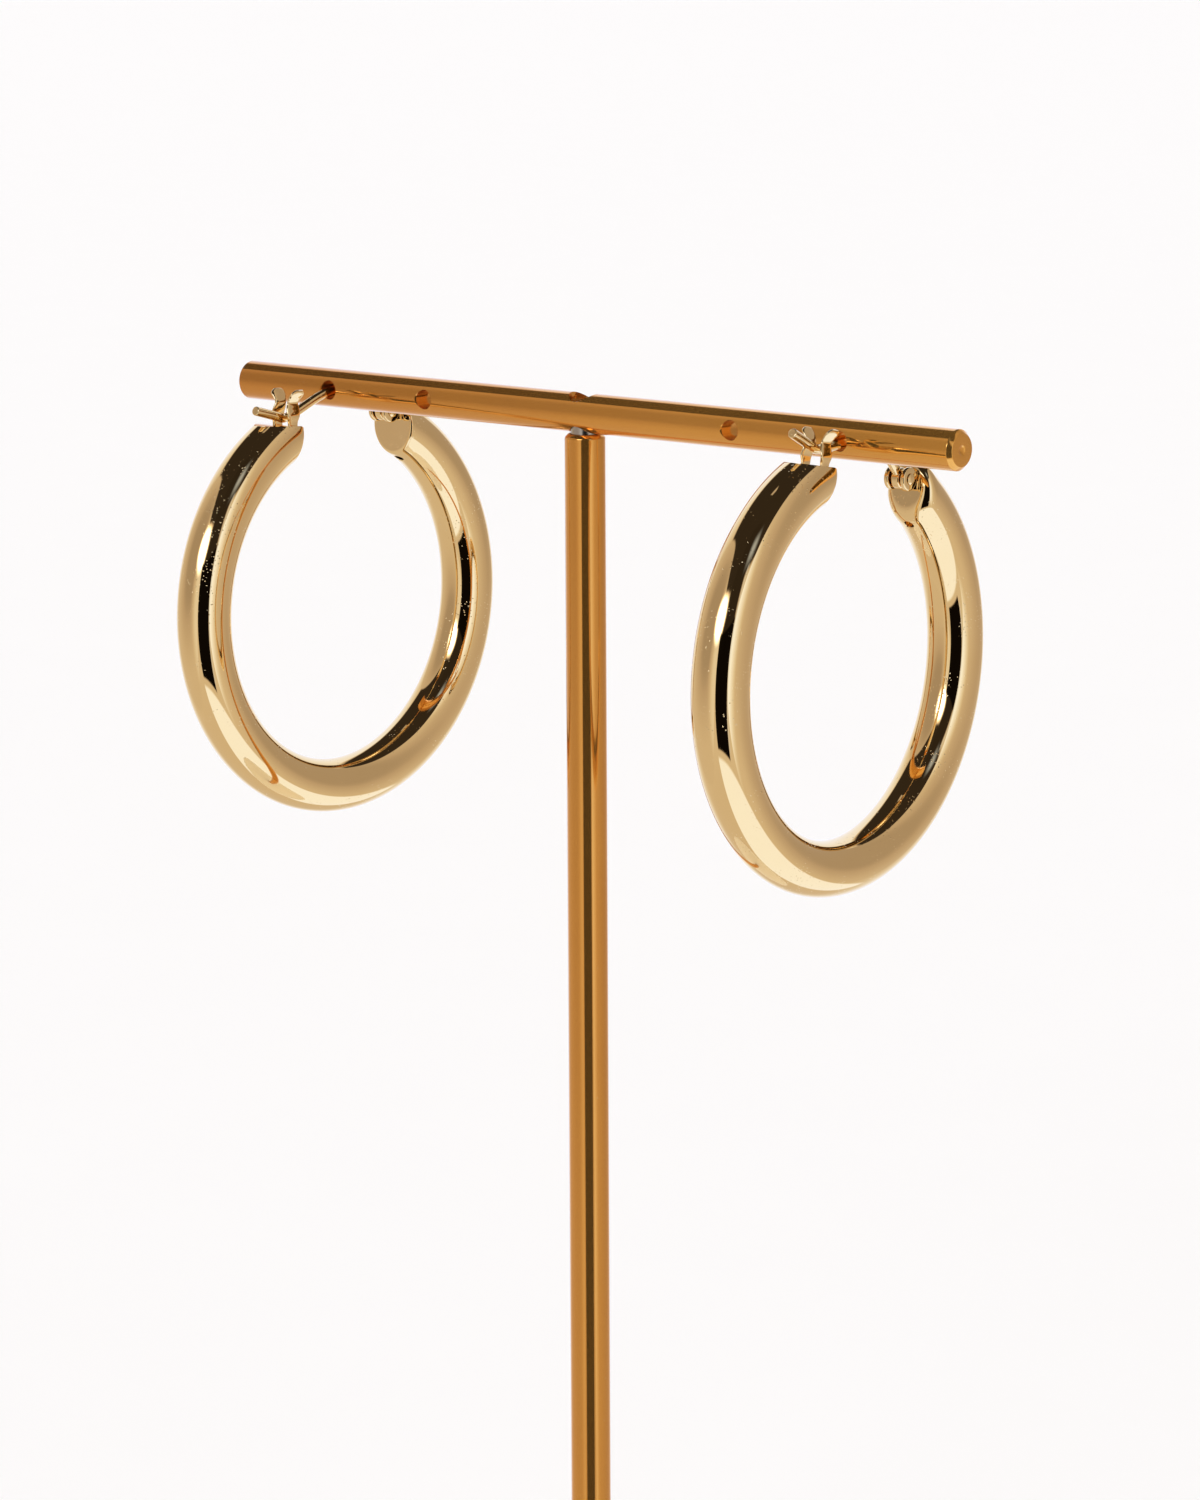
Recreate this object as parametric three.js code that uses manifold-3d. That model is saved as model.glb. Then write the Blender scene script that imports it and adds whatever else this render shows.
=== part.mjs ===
// A pair of gold tube hoop earrings with hinged ear wires, hanging on a T-bar stand.
// Millimetres, +Z up. The origin is the middle of the underside of the stand's base,
// +X runs along the crossbar and -Y is the side that the catches face.
import * as THREE from "three";
import { mergeVertices } from "three/addons/utils/BufferGeometryUtils.js";
import Module from "manifold-3d";

const wasm = await Module();
wasm.setup();

// Stand: base, post, crossbar and the screw that joins the last two
const baseDiameter = 70;
const baseThickness = 6;
const baseChamfer = 0.8;
const barAxisHeight = 138;
const barDiameter = 4;
const barLength = 92.7;
const barChamfer = 0.15;
const dimpleDiameter = 1;
const dimpleDepth = 0.35;
const postDiameter = 4.1;
const postChamfer = 0.35;
const postSocketDepth = 4.5;
const socketClearance = 0.15;
const seatGap = 0.05;
const screwDiameter = 2.9;
const screwHoleClearance = 0.13;
const screwDepthInPost = 7;
const screwRecess = 0.1;

// Cross holes that the ear wires hang in
const wireHoleDiameter = 2;
const wireHoleChamfer = 0.12;
const outerHoleInset = 13.15;
const innerHoleInset = 26.4;

// Hoop: a round hollow tube with a gap on top and a flat plate over each end
const hoopRadius = 19.53;
const tubeDiameter = 5.6;
const tubeWall = 0.4;
const gapWidth = 15.3;
const endPlate = 0.5;
const ventDiameter = 1;
const ventAngle = 31.5;

// Catch: two sprung legs on a flat at the front end of the tube
const catchFlatRise = 0.85;
const catchSetback = 0.7;
const catchHeight = 3.55;
const catchBaseSpread = 1.1;
const catchTipSpread = 1.42;
const catchEarWidth = 1.85;
const catchStrip = 0.38;
const catchClearance = 0.2;
const solderDepth = 0.3;

// Hinge: two round lugs soldered to the rear end plate by a foot, with a rivet through the wire's eye
const hingeReach = 1.28;
const hingeRise = 1.45;
const lugRadius = 1.18;
const lugThickness = 0.52;
const lugClearance = 0.22;
const lugFootHeight = 1.1;
const rivetDiameter = 0.7;
const rivetClearance = 0.1;
const rivetHeadDiameter = 1.15;
const rivetHeadHeight = 0.2;

// Ear wire
const wireDiameter = 0.95;
const eyeDiameter = 2.1;
const tipLength = 4.3;
const wireSagHeight = 0.27;
const archHeight = 4.12;
const shoulderReach = 3.4;
const shoulderHeight = 3.5;
const elbowReach = 1.9;
const elbowHeight = 2.15;

// How each earring hangs in its hole. across, along and up place the hole in the hoop's own frame, as
// shares of the hole's diameter, the gap's width and the arch's height above the tube's end. hinge is
// the lugs' height as a share of hingeRise, and seat the wire's height between the catch's legs as a
// share of catchHeight. The rest are degrees: the hoop's lean, yaw and tilt, and the lift of the tip
const hangs = [
  {
    side: "left", end: -1, across: 0.075, along: -0.0176, up: 1, hinge: 1, seat: 0.17,
    lean: 2.5, yaw: -1.39, tilt: 0.32, tipLift: 13,
  },
  {
    side: "right", end: 1, across: -0.035, along: -0.1765, up: 0.91, hinge: 0.47, seat: 0.44,
    lean: 10.5, yaw: 2.39, tilt: -0.21, tipLift: 16,
  },
];

// Facets
const hoopSteps = 80;
const tubeSides = 16;
const boreSteps = 60;
const boreSides = 12;
const rodSides = 32;
const holeSides = 16;
const wireSides = 10;
const wireSteps = 44;

// Sizes that follow from those above
const barRadius = barDiameter / 2;
const tubeRadius = tubeDiameter / 2;
const wireRadius = wireDiameter / 2;
const endY = gapWidth / 2;
const endZ = Math.sqrt(hoopRadius ** 2 - endY ** 2);
const farAway = 2 * (hoopRadius + tubeDiameter);
const flatZ = endZ + catchFlatRise;
const catchY = -(endY + catchSetback);
const rivetY = endY - hingeReach;
const lugInner = wireRadius + lugClearance;
const lugOuter = lugInner + lugThickness;
const outerHoleX = barLength / 2 - outerHoleInset;
const innerHoleX = barLength / 2 - innerHoleInset;
const screwHoleRadius = screwDiameter / 2 + screwHoleClearance;

const gold = { color: 0xd9b66c, roughness: 0.12, metalness: 1 };
const anodised = { color: 0xb9772e, roughness: 0.32, metalness: 0.9 };
const lacquer = { color: 0xebe8e2, roughness: 0.35, metalness: 0 };
const steel = { color: 0xb8b8b6, roughness: 0.3, metalness: 1 };

const radians = THREE.MathUtils.degToRad;

// Turns a closed geometry into a solid: its shared vertices are merged and slivers dropped
function solid(geometry) {
  geometry.deleteAttribute("normal");
  geometry.deleteAttribute("uv");
  const merged = mergeVertices(geometry);
  const corners = merged.index.array;
  const kept = [];
  for (let i = 0; i < corners.length; i += 3) {
    const [a, b, c] = [corners[i], corners[i + 1], corners[i + 2]];
    if (a !== b && b !== c && c !== a) {
      kept.push(a, b, c);
    }
  }
  return new wasm.Manifold(new wasm.Mesh({
    numProp: 3,
    vertProperties: new Float32Array(merged.attributes.position.array),
    triVerts: new Uint32Array(kept),
  }));
}

function box(low, high) {
  const size = high.map((value, axis) => value - low[axis]);
  const centre = high.map((value, axis) => (value + low[axis]) / 2);
  return solid(new THREE.BoxGeometry(...size).translate(...centre));
}

// A turned solid about +Z from a profile of [radius, height] pairs that starts and ends on the axis
function turned(profile, sides = rodSides) {
  const points = profile.map(([radius, height]) => new THREE.Vector2(radius, height));
  return new THREE.LatheGeometry(points, sides).rotateX(Math.PI / 2);
}

// A rod about +Z with both edges chamfered
function rod(radius, bottom, top, chamfer, sides) {
  return turned([
    [0, bottom],
    [radius - chamfer, bottom],
    [radius, bottom + chamfer],
    [radius, top - chamfer],
    [radius - chamfer, top],
    [0, top],
  ], sides);
}

// A plain round cutter or pin about +Z
function pin(radius, bottom, top, sides = holeSides) {
  return turned([[0, bottom], [radius, bottom], [radius, top], [0, top]], sides);
}

// A hole cutter about +Z that opens out to a chamfer at both faces of a bar of the given radius
function chamferedHole(radius, faceAt, chamfer) {
  const past = faceAt + 1;
  return turned([
    [0, -past],
    [radius + chamfer + 1, -past],
    [radius, -faceAt + chamfer],
    [radius, faceAt - chamfer],
    [radius + chamfer + 1, past],
    [0, past],
  ], holeSides);
}

// A flat outline in the hoop's plane, made of [y, z] pairs, thickened across it from x = low to high
function plate(outline, low, high) {
  const shape = new THREE.Shape(outline.map(([y, z]) => new THREE.Vector2(y, z)));
  const geometry = new THREE.ExtrudeGeometry(shape, { depth: high - low, bevelEnabled: false });
  const turn = new THREE.Matrix4().makeBasis(
    new THREE.Vector3(0, 1, 0), new THREE.Vector3(0, 0, 1), new THREE.Vector3(1, 0, 0));
  return solid(geometry.applyMatrix4(turn).translate(low, 0, 0));
}

// An outline of [x, z] pairs, run along y from low to high
function run(outline, low, high) {
  const shape = new THREE.Shape(outline.map(([x, z]) => new THREE.Vector2(x, z)));
  const geometry = new THREE.ExtrudeGeometry(shape, { depth: high - low, bevelEnabled: false });
  return solid(geometry.rotateX(Math.PI / 2).translate(0, high, 0));
}

function meshOf(name, made, look) {
  const { vertProperties, triVerts } = made.getMesh();
  const geometry = new THREE.BufferGeometry();
  geometry.setAttribute("position", new THREE.BufferAttribute(new Float32Array(vertProperties), 3));
  geometry.setIndex(new THREE.BufferAttribute(new Uint32Array(triVerts), 1));
  const mesh = new THREE.Mesh(geometry, new THREE.MeshStandardMaterial(look));
  mesh.name = name;
  return mesh;
}

// The round foot, with a blind socket for the post
function basePlate() {
  const disc = solid(rod(baseDiameter / 2, 0, baseThickness, baseChamfer, 2 * rodSides));
  const socketRadius = postDiameter / 2 + socketClearance;
  const socket = solid(pin(socketRadius, baseThickness - postSocketDepth, baseThickness + 1, rodSides));
  return disc.subtract(socket);
}

// The upright, from the bottom of its socket to the underside of the bar, tapped for the screw
function post() {
  const bottom = baseThickness - postSocketDepth + seatGap;
  const top = barAxisHeight - barRadius - seatGap;
  const upright = solid(rod(postDiameter / 2, bottom, top, postChamfer, rodSides));
  return upright.subtract(solid(pin(screwHoleRadius, top - screwDepthInPost, top + 1)));
}

// The bar, made about the origin along x and then lifted
function crossbar() {
  const half = barLength / 2;
  let bar = solid(rod(barRadius, -half, half, barChamfer, rodSides).rotateY(Math.PI / 2));
  for (const holeX of [-outerHoleX, -innerHoleX, innerHoleX, outerHoleX]) {
    const hole = chamferedHole(wireHoleDiameter / 2, barRadius, wireHoleChamfer);
    bar = bar.subtract(solid(hole.rotateX(Math.PI / 2).translate(holeX, 0, 0)));
  }
  bar = bar.subtract(solid(pin(screwHoleRadius, -barDiameter, barDiameter)));
  for (const end of [-1, 1]) {
    const dimple = turned([[0, -dimpleDepth], [dimpleDiameter, dimpleDepth], [0, dimpleDepth]], holeSides);
    bar = bar.subtract(solid(dimple.rotateY(end * Math.PI / 2).translate(end * half, 0, 0)));
  }
  return bar;
}

// The screw ends just under the lowest point of its hole's rim on top of the bar
function barScrew() {
  const bottom = barAxisHeight - barRadius - screwDepthInPost + 2 * seatGap;
  const rim = Math.sqrt(barRadius ** 2 - screwHoleRadius ** 2);
  return solid(pin(screwDiameter / 2, bottom, barAxisHeight + rim - screwRecess));
}

function ring(radius, sides, steps) {
  return solid(new THREE.TorusGeometry(hoopRadius, radius, sides, steps).rotateY(Math.PI / 2));
}

// The space inside the tube, stopped short of the end plates and of the catch's flat
function tubeBore() {
  const space = ring(tubeRadius - tubeWall, boreSides, boreSteps);
  const endStop = box([-farAway, -endY - endPlate, 0], [farAway, endY + endPlate, farAway]);
  const flatStop = box([-farAway, -farAway, flatZ - endPlate], [farAway, 0, farAway]);
  return space.subtract(endStop).subtract(flatStop);
}

function ventHole() {
  const drill = pin(ventDiameter / 2, hoopRadius - tubeDiameter, hoopRadius);
  return solid(drill.rotateX(-radians(ventAngle)));
}

// Catch legs by height: heights are shares of catchHeight, widths of catchEarWidth, and back, how far
// the leg leans towards the hinge, of catchEarWidth too
function catchRows() {
  const neck = wireRadius + catchClearance + catchStrip / 2;
  const sunk = -solderDepth / catchHeight;
  return [
    { height: sunk, spread: catchBaseSpread, width: 0.86, back: 0 },
    { height: 0.08, spread: catchBaseSpread, width: 0.9, back: 0 },
    { height: 0.26, spread: catchBaseSpread + 0.2 * (catchBaseSpread - neck), width: 0.95, back: 0.02 },
    { height: 0.45, spread: (catchBaseSpread + neck) / 2, width: 0.92, back: 0.06 },
    { height: 0.62, spread: neck, width: 0.86, back: 0.12 },
    { height: 0.76, spread: neck + 0.35 * (catchTipSpread - neck), width: 0.95, back: 0.17 },
    { height: 0.9, spread: neck + 0.85 * (catchTipSpread - neck), width: 0.92, back: 0.22 },
    { height: 1, spread: catchTipSpread, width: 0.45, back: 0.25 },
  ];
}

function smoothed(points, count) {
  const curve = new THREE.SplineCurve(points.map(([u, v]) => new THREE.Vector2(u, v)));
  return curve.getPoints(count).map((point) => [point.x, point.y]);
}

// One leg is a bent strip cut to its side outline; side is 1 or -1
function catchLeg(side) {
  const rows = catchRows();
  const bend = smoothed(rows.map((row) => [row.spread, flatZ + catchHeight * row.height]), 14);
  const inner = bend.map(([x, z]) => [side * (x - catchStrip / 2), z]);
  const outer = bend.map(([x, z]) => [side * (x + catchStrip / 2), z]);
  const strip = run([...inner, ...outer.reverse()], catchY - catchEarWidth, catchY + catchEarWidth);
  const edge = (way) => smoothed(rows.map(({ height, width, back }) => (
    [catchY + catchEarWidth * (back + way * width / 2), flatZ + catchHeight * height])), 14);
  const outline = [...edge(-1), ...edge(1).reverse()];
  return strip.intersect(plate(outline, -catchTipSpread * 2, catchTipSpread * 2));
}

// The rivet's height for a given earring
function rivetHeight(hang) {
  return endZ + hingeRise * hang.hinge;
}

// One lug is a round plate about the rivet with a foot that runs back into the end plate
function hingeLug(side, rivetZ) {
  const [low, high] = [side * lugInner, side * lugOuter].sort((a, b) => a - b);
  const plain = pin(lugRadius, low, high, wireSides * 2).rotateY(Math.PI / 2);
  const disc = solid(plain.translate(0, rivetY, rivetZ));
  const bottom = rivetZ - lugRadius + lugThickness / 4;
  const foot = box([low, rivetY, bottom], [high, endY + endPlate / 2, bottom + lugFootHeight]);
  return disc.add(foot);
}

function rivetBore(rivetZ) {
  const drill = pin(rivetDiameter / 2 + rivetClearance, -farAway, farAway);
  return solid(drill.rotateY(Math.PI / 2).translate(0, rivetY, rivetZ));
}

// The whole hoop about its own centre, gap on top, catch towards -y and hinge towards +y
function hoop(hang) {
  const gap = box([-farAway, -endY, 0], [farAway, endY, farAway]);
  const flat = box([-farAway, -farAway, flatZ], [farAway, 0, farAway]);
  let body = ring(tubeRadius, tubeSides, hoopSteps).subtract(gap).subtract(flat);
  body = body.subtract(tubeBore()).subtract(ventHole());
  for (const side of [-1, 1]) {
    body = body.add(catchLeg(side)).add(hingeLug(side, rivetHeight(hang)));
  }
  return body.subtract(rivetBore(rivetHeight(hang)));
}

function hingeRivet(hang) {
  const headAt = lugOuter + seatGap;
  const half = headAt + rivetHeadHeight;
  const profile = [
    [0, -half],
    [rivetHeadDiameter / 2, -half],
    [rivetHeadDiameter / 2, -headAt],
    [rivetDiameter / 2, -headAt],
    [rivetDiameter / 2, headAt],
    [rivetHeadDiameter / 2, headAt],
    [rivetHeadDiameter / 2, half],
    [0, half],
  ];
  return solid(turned(profile, holeSides).rotateY(Math.PI / 2).translate(0, rivetY, rivetHeight(hang)));
}

// The hole of the bar in the hoop's own frame
function holePlace({ across, along, up }) {
  return [across * wireHoleDiameter, along * gapWidth, endZ + up * archHeight];
}

// Where the ear wire runs in the hoop's plane: tip, catch seat, both mouths of the bar's hole,
// the shoulder and elbow above the hinge, and the eye
function wireCurve(hang) {
  const [c, s] = [Math.cos(radians(hang.lean)), Math.sin(radians(hang.lean))];
  const [, along, up] = holePlace(hang);
  const mouth = (reach) => [along + reach * c + wireSagHeight * s, up + reach * s - wireSagHeight * c];
  const lift = radians(hang.tipLift);
  const seat = [catchY, flatZ + catchHeight * hang.seat];
  const elbow = [rivetY - elbowReach, endZ + elbowHeight];
  const eye = [rivetY, rivetHeight(hang)];
  const into = Math.atan2(elbow[1] - eye[1], elbow[0] - eye[0]);
  const eyeEdge = eyeDiameter / 2 - 0.3 * wireDiameter;
  const stations = [
    [seat[0] - tipLength * Math.cos(lift), seat[1] + tipLength * Math.sin(lift)],
    [seat[0] - 0.25 * tipLength, seat[1] + 0.25 * tipLength * Math.sin(lift)],
    seat,
    mouth(-barRadius),
    mouth(barRadius),
    [rivetY - shoulderReach, endZ + shoulderHeight],
    elbow,
    [eye[0] + eyeEdge * Math.cos(into), eye[1] + eyeEdge * Math.sin(into)],
  ];
  const points = stations.map(([y, z]) => new THREE.Vector3(0, y, z));
  return new THREE.CatmullRomCurve3(points, false, "centripetal");
}

function earWire(hang) {
  const curve = wireCurve(hang);
  const round = new THREE.Shape();
  round.absarc(0, 0, wireRadius, 0, 2 * Math.PI);
  const tube = new THREE.ExtrudeGeometry(round, {
    steps: wireSteps, curveSegments: wireSides / 2, bevelEnabled: false, extrudePath: curve,
  });
  const tip = curve.getPoint(0);
  const ball = new THREE.SphereGeometry(wireRadius, wireSides, wireSides / 2).translate(tip.x, tip.y, tip.z);
  const disc = pin(eyeDiameter / 2, -wireRadius, wireRadius, 2 * wireSides);
  const eye = solid(disc.rotateY(Math.PI / 2).translate(0, rivetY, rivetHeight(hang)));
  return solid(tube).add(solid(ball)).add(eye).subtract(rivetBore(rivetHeight(hang)));
}

// An earring as a group: turned about its own plane, then placed so that its wire lies in the bar's hole
function earring(hang) {
  const group = new THREE.Group();
  group.rotation.set(-radians(hang.lean), -radians(hang.tilt), radians(hang.yaw), "ZYX");
  const holeHere = new THREE.Vector3(...holePlace(hang)).applyEuler(group.rotation);
  group.position.set(hang.end * outerHoleX, 0, barAxisHeight).sub(holeHere);
  group.add(
    meshOf(`hoop_${hang.side}`, hoop(hang), gold),
    meshOf(`ear_wire_${hang.side}`, earWire(hang), gold),
    meshOf(`hinge_rivet_${hang.side}`, hingeRivet(hang), gold),
  );
  return group;
}

const part = new THREE.Group();
const bar = meshOf("crossbar", crossbar(), anodised);
bar.position.z = barAxisHeight;
part.add(
  meshOf("base_plate", basePlate(), lacquer),
  meshOf("post", post(), anodised),
  bar,
  meshOf("bar_screw", barScrew(), steel),
);
for (const hang of hangs) {
  part.add(earring(hang));
}

export default part;
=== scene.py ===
# %% [markdown]
# A pair of gold tube hoops hangs from an orange-gold T-bar stand, each on its own hinged ear wire.
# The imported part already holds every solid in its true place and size, but with coarse facets.
# This script keeps that part as a fixed frame and lays a finely rounded piece over each of its
# nodes, then gives the pieces their finishes and photographs them in a small studio.

import math

import bmesh
import bpy
from mathutils import Matrix, Vector


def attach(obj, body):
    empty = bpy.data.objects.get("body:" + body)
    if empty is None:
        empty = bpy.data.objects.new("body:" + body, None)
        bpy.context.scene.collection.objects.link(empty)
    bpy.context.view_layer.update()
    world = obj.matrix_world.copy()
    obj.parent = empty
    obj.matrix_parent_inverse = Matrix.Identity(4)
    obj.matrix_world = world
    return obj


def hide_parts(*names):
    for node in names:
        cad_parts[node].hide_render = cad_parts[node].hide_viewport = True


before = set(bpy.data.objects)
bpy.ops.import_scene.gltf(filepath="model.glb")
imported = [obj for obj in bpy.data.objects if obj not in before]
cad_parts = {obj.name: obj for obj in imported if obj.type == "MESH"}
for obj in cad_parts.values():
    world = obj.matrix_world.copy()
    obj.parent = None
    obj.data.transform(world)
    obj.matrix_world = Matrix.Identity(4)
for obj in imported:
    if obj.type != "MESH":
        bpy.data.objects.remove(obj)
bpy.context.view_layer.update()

# %% [markdown]
# Jewellery is measured in millimetres and Blender counts in metres, so every size is written in
# millimetres times MM. The stand is made of stock rod: a 4 mm crossbar with four cross holes, and a
# 4.1 mm post that a screw holds from above.

# %% Sizes of the stand
MM = 0.001
BASE_DIAMETER, BASE_THICKNESS, BASE_CHAMFER = 70 * MM, 6 * MM, 0.8 * MM
BAR_HEIGHT, BAR_DIAMETER, BAR_LENGTH = 138 * MM, 4 * MM, 92.7 * MM
BAR_CHAMFER, DIMPLE_DIAMETER, DIMPLE_DEPTH = 0.42 * MM, 1 * MM, 0.35 * MM
POST_DIAMETER, POST_CHAMFER = 4.1 * MM, 0.35 * MM
SOCKET_DEPTH, SOCKET_CLEARANCE, SEAT_GAP = 4.5 * MM, 0.15 * MM, 0.05 * MM
SCREW_DIAMETER, SCREW_CLEARANCE, SCREW_DEPTH = 2.9 * MM, 0.13 * MM, 7 * MM
SCREW_RECESS = 0.1 * MM
HOLE_DIAMETER, HOLE_CHAMFER = 2 * MM, 0.12 * MM
BASE_EDGE, ROD_EDGE, BAR_EDGE = 0.25 * MM, 0.12 * MM, 0.06 * MM
PAST = 1 * MM  # how far a cutter reaches past what it cuts
OUTER_HOLE = BAR_LENGTH / 2 - 13.15 * MM
INNER_HOLE = BAR_LENGTH / 2 - 26.4 * MM
print(f"cross holes at {OUTER_HOLE / MM:.2f} and {INNER_HOLE / MM:.2f} mm from the post")

# %% [markdown]
# A hoop is a round tube bent to a ring and sawn open on top. The sawn rear end carries two small
# round lugs with the rivet, and the front end is filed flat for the two sprung legs of the catch.
# Sizes that only follow from others are worked out here, once.

# %% Sizes of the hoops and their ear wires
RING_RADIUS, TUBE_RADIUS, GAP_WIDTH = 19.53 * MM, 2.8 * MM, 15.3 * MM
NOSE_ROUNDING = 1 * MM
VENT_DIAMETER, VENT_DEPTH, VENT_MOUTH = 1 * MM, 0.9 * MM, 0.08 * MM
VENT_ANGLE = math.radians(31.5)
FLAT_RISE, CATCH_SETBACK = 0.85 * MM, 0.7 * MM
CATCH_HEIGHT, CATCH_BASE, CATCH_TIP = 3.55 * MM, 1.1 * MM, 1.62 * MM
CATCH_WIDTH, CATCH_STRIP, CATCH_CLEARANCE = 1.85 * MM, 0.38 * MM, 0.2 * MM
SOLDER_DEPTH, FOOT_SINK = 0.3 * MM, 0.15 * MM
HINGE_REACH, HINGE_RISE = 1.28 * MM, 1.45 * MM
LUG_RADIUS, LUG_THICKNESS, LUG_CLEARANCE, LUG_FOOT = 1.18 * MM, 0.52 * MM, 0.22 * MM, 1.1 * MM
RIVET_DIAMETER, RIVET_CLEARANCE = 0.7 * MM, 0.1 * MM
RIVET_HEAD_DIAMETER, RIVET_HEAD_HEIGHT = 1.15 * MM, 0.2 * MM
WIRE_RADIUS, EYE_RADIUS, TIP_LENGTH, WIRE_SAG = 0.475 * MM, 1.05 * MM, 4.3 * MM, 0.27 * MM
LUG_EDGE, RIVET_EDGE, EYE_EDGE, TIP_EDGE = 0.24 * MM, 0.09 * MM, 0.3 * MM, 0.12 * MM
ARCH_HEIGHT = 4.12 * MM
SHOULDER_REACH, SHOULDER_HEIGHT = 3.4 * MM, 3.5 * MM
ELBOW_REACH, ELBOW_HEIGHT = 1.9 * MM, 2.15 * MM

END_Y = GAP_WIDTH / 2
END_Z = math.sqrt(RING_RADIUS**2 - END_Y**2)
FLAT_Z = END_Z + FLAT_RISE
CATCH_Y = -(END_Y + CATCH_SETBACK)
RIVET_Y = END_Y - HINGE_REACH
LUG_INNER = WIRE_RADIUS + LUG_CLEARANCE
LUG_OUTER = LUG_INNER + LUG_THICKNESS
print(f"the tube's ends stand {END_Z / MM:.2f} mm above the ring's centre")

# %% [markdown]
# The two earrings are twins, but each hangs in its hole in its own way, and one is more worn. A small
# table with named columns holds that. Where the hole, the rivet and the wire's seat lie in the hoop's
# own frame are shares of the sizes above. The hoop's lean, yaw and tilt and the free tip's rise are
# in degrees, and how far the rear rim is polished round is in millimetres. One matrix for each side
# then carries pieces made about the ring's centre to the place where they hang.

# %% How each earring hangs
HANGS = {
    "left": {
        "end": -1, "across": 0.075, "along": -0.0176, "up": 1, "hinge": 1, "seat": 0.17,
        "lean": 2.5, "yaw": -1.39, "tilt": 0.32, "tip_lift": 13, "worn": 0.3,
    },
    "right": {
        "end": 1, "across": -0.035, "along": -0.1765, "up": 0.91, "hinge": 0.47, "seat": 0.44,
        "lean": 10.5, "yaw": 2.39, "tilt": -0.21, "tip_lift": 16, "worn": 1.4,
    },
}


def hole_place(hang):
    """The bar's hole in the hoop's own frame."""
    return Vector((hang["across"] * HOLE_DIAMETER, hang["along"] * GAP_WIDTH,
                   END_Z + hang["up"] * ARCH_HEIGHT))


def rivet_height(hang):
    return END_Z + HINGE_RISE * hang["hinge"]


def hanging(hang):
    """The matrix from the hoop's own frame to the place where it hangs."""
    turn = (Matrix.Rotation(math.radians(hang["yaw"]), 4, "Z")
            @ Matrix.Rotation(-math.radians(hang["tilt"]), 4, "Y")
            @ Matrix.Rotation(-math.radians(hang["lean"]), 4, "X"))
    hole = Vector((hang["end"] * OUTER_HOLE, 0, BAR_HEIGHT))
    return Matrix.Translation(hole - turn @ hole_place(hang)) @ turn


for side, hang in HANGS.items():
    centre = hanging(hang).translation / MM
    print(f"{side} ring centre at {centre.x:.2f}, {centre.y:.2f}, {centre.z:.2f} mm")

# %% [markdown]
# Materials and Geometry Nodes are both trees of nodes. Wiring them by hand hides the sum that they
# work out, so one small class wraps a socket and turns Python's operators into Math nodes, and
# another adds any node from its type, its settings and its inputs.

# %% Node trees as Python expressions
class Value:
    """A socket that Python's operators work on."""

    def __init__(self, nodes, socket):
        self.nodes = nodes
        self.socket = socket

    def math(self, operation, *others):
        return self.nodes.add("ShaderNodeMath", {"operation": operation}, (self, *others))

    def __add__(self, other):
        return self.math("ADD", other)

    def __sub__(self, other):
        return self.math("SUBTRACT", other)

    def __mul__(self, other):
        return self.math("MULTIPLY", other)

    def __truediv__(self, other):
        return self.math("DIVIDE", other)

    def __rsub__(self, other):
        return self.nodes.add("ShaderNodeMath", {"operation": "SUBTRACT"}, (other, self))

    def __rtruediv__(self, other):
        return self.nodes.add("ShaderNodeMath", {"operation": "DIVIDE"}, (other, self))

    __radd__ = __add__
    __rmul__ = __mul__


class Nodes:
    """A node tree that grows by expressions."""

    def __init__(self, tree):
        self.tree = tree
        tree.nodes.clear()

    def add(self, kind, settings=None, inputs=(), output=0):
        node = self.tree.nodes.new(kind)
        for name, setting in (settings or {}).items():
            if name == "stops":
                fill_ramp(node.color_ramp, setting)
            else:
                setattr(node, name, setting)
        pairs = inputs.items() if isinstance(inputs, dict) else enumerate(inputs)
        for key, value in pairs:
            if isinstance(value, Value):
                self.tree.links.new(value.socket, node.inputs[key])
            else:
                node.inputs[key].default_value = value
        return Value(self, node.outputs[output] if node.outputs else None)

    def blend(self, factor, first, second):
        """A mix of two colours, whose sockets a Mix node counts as 6 and 7."""
        inputs = {"Factor": factor, 6: first, 7: second}
        return self.add("ShaderNodeMix", {"data_type": "RGBA"}, inputs, output=2)


def fill_ramp(ramp, stops):
    """Gives a colour ramp its stops, each a place and a grey level or a colour."""
    while len(ramp.elements) < len(stops):
        ramp.elements.new(1.0)
    for element, (place, level) in zip(ramp.elements, stops):
        element.position = place
        element.color = (*level, 1) if isinstance(level, tuple) else (level, level, level, 1)


print("operators ready")

# %% [markdown]
# Polished gold plate is nearly a mirror, so what the eye reads as its surface is what it reflects.
# What makes it real is small: polishing leaves hairlines too fine to see one by one, fingers leave
# smears that blur the reflection a little, and the plating over brass has tiny pits that gather in
# clusters. The hairlines and smears change the roughness. The pits are a fine bump, which shows as
# bright specks where the reflection is dark, over a slow ripple of the tube itself.

# %% Polished gold
def material(name):
    made = bpy.data.materials.new(name)
    made.use_nodes = True
    return made, Nodes(made.node_tree)


def close(nodes, inputs):
    """Ends a material with its one shader."""
    shader = nodes.add("ShaderNodeBsdfPrincipled", {}, inputs)
    nodes.add("ShaderNodeOutputMaterial", {}, {"Surface": shader})


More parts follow.
